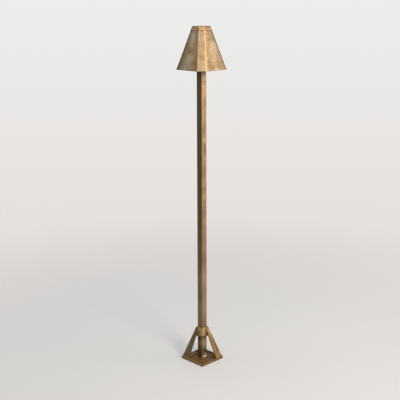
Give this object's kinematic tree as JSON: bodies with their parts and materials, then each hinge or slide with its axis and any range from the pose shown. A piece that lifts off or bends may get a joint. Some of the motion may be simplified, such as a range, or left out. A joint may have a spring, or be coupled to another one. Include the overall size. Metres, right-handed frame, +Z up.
{
  "type": "path light",
  "caption": "Tall garden path light: a tapered eight-sided brass hat on a square tube stem, braced by V-section legs on a square base plate.",
  "frame": {"origin": "middle of the base plate's underside", "axes": "+Z up along the stem; +X and +Y square to the stem's faces; the braces stand at the (+X, +Y) and (-X, -Y) corners"},
  "size_m": [0.1164, 0.1164, 0.9828],
  "materials": {
    "shade_brass": "aged sheet brass with a mottled brown and olive patina",
    "cap_brass": "aged cast brass",
    "stem_brass": "aged drawn brass tube",
    "base_brass": "dark aged brass plate",
    "leg_brass": "aged folded brass sheet",
    "plain_brass": "machined brass",
    "screw_steel": "stainless steel",
    "black_rubber": "moulded rubber",
    "holder_ceramic": "unglazed steatite",
    "contact_metal": "nickel plated",
    "lead_insulation": "extruded insulation",
    "splice_sleeve": "crimp sleeve",
    "lamp_foot": "moulded plastic",
    "lamp_clear": "clear moulded cover",
    "board_white": "white circuit board",
    "chip_yellow": "phosphor gel"
  },
  "bodies": {
    "post": {"base_plate": "base_brass", "foot_boss": "plain_brass", "cable_grommet": "black_rubber", "base_collar": "base_brass", "collar_screws": "screw_steel", "leg_right": "leg_brass", "leg_left": "leg_brass", "stem": "stem_brass", "stem_screws": "screw_steel", "stem_head": "plain_brass", "head_screws": "screw_steel", "shade_bracket": "plain_brass", "bracket_screws": "screw_steel", "bracket_nut": "plain_brass", "lampholder": "holder_ceramic", "holder_screws": "screw_steel", "lamp_contacts": "contact_metal", "lead_long": "lead_insulation", "lead_short": "lead_insulation", "lead_splices": "splice_sleeve"},
    "hat": {"shade": "shade_brass", "shade_roof": "shade_brass", "cap_gasket": "black_rubber", "shade_cap": "cap_brass"},
    "fastening": {"cap_screw": "screw_steel"},
    "lamp": {"lamp_base": "lamp_foot", "lamp_pins": "contact_metal", "lamp_envelope": "lamp_clear", "led_board": "board_white", "led_chips": "chip_yellow"}
  },
  "joints": [
    {"name": "shade_lift", "type": "slide", "parent": "post", "child": "hat", "axis": [0, 0, 1], "range_m": [0, 0.13]},
    {"name": "cap_screw_turn", "type": "hinge", "parent": "hat", "child": "fastening", "pos_m": [0, 0, 0.98], "axis": [0, 0, 1], "continuous": true},
    {"name": "lamp_pull", "type": "slide", "parent": "post", "child": "lamp", "axis": [0, 0, 1], "range_m": [0, 0.01]}
  ]
}
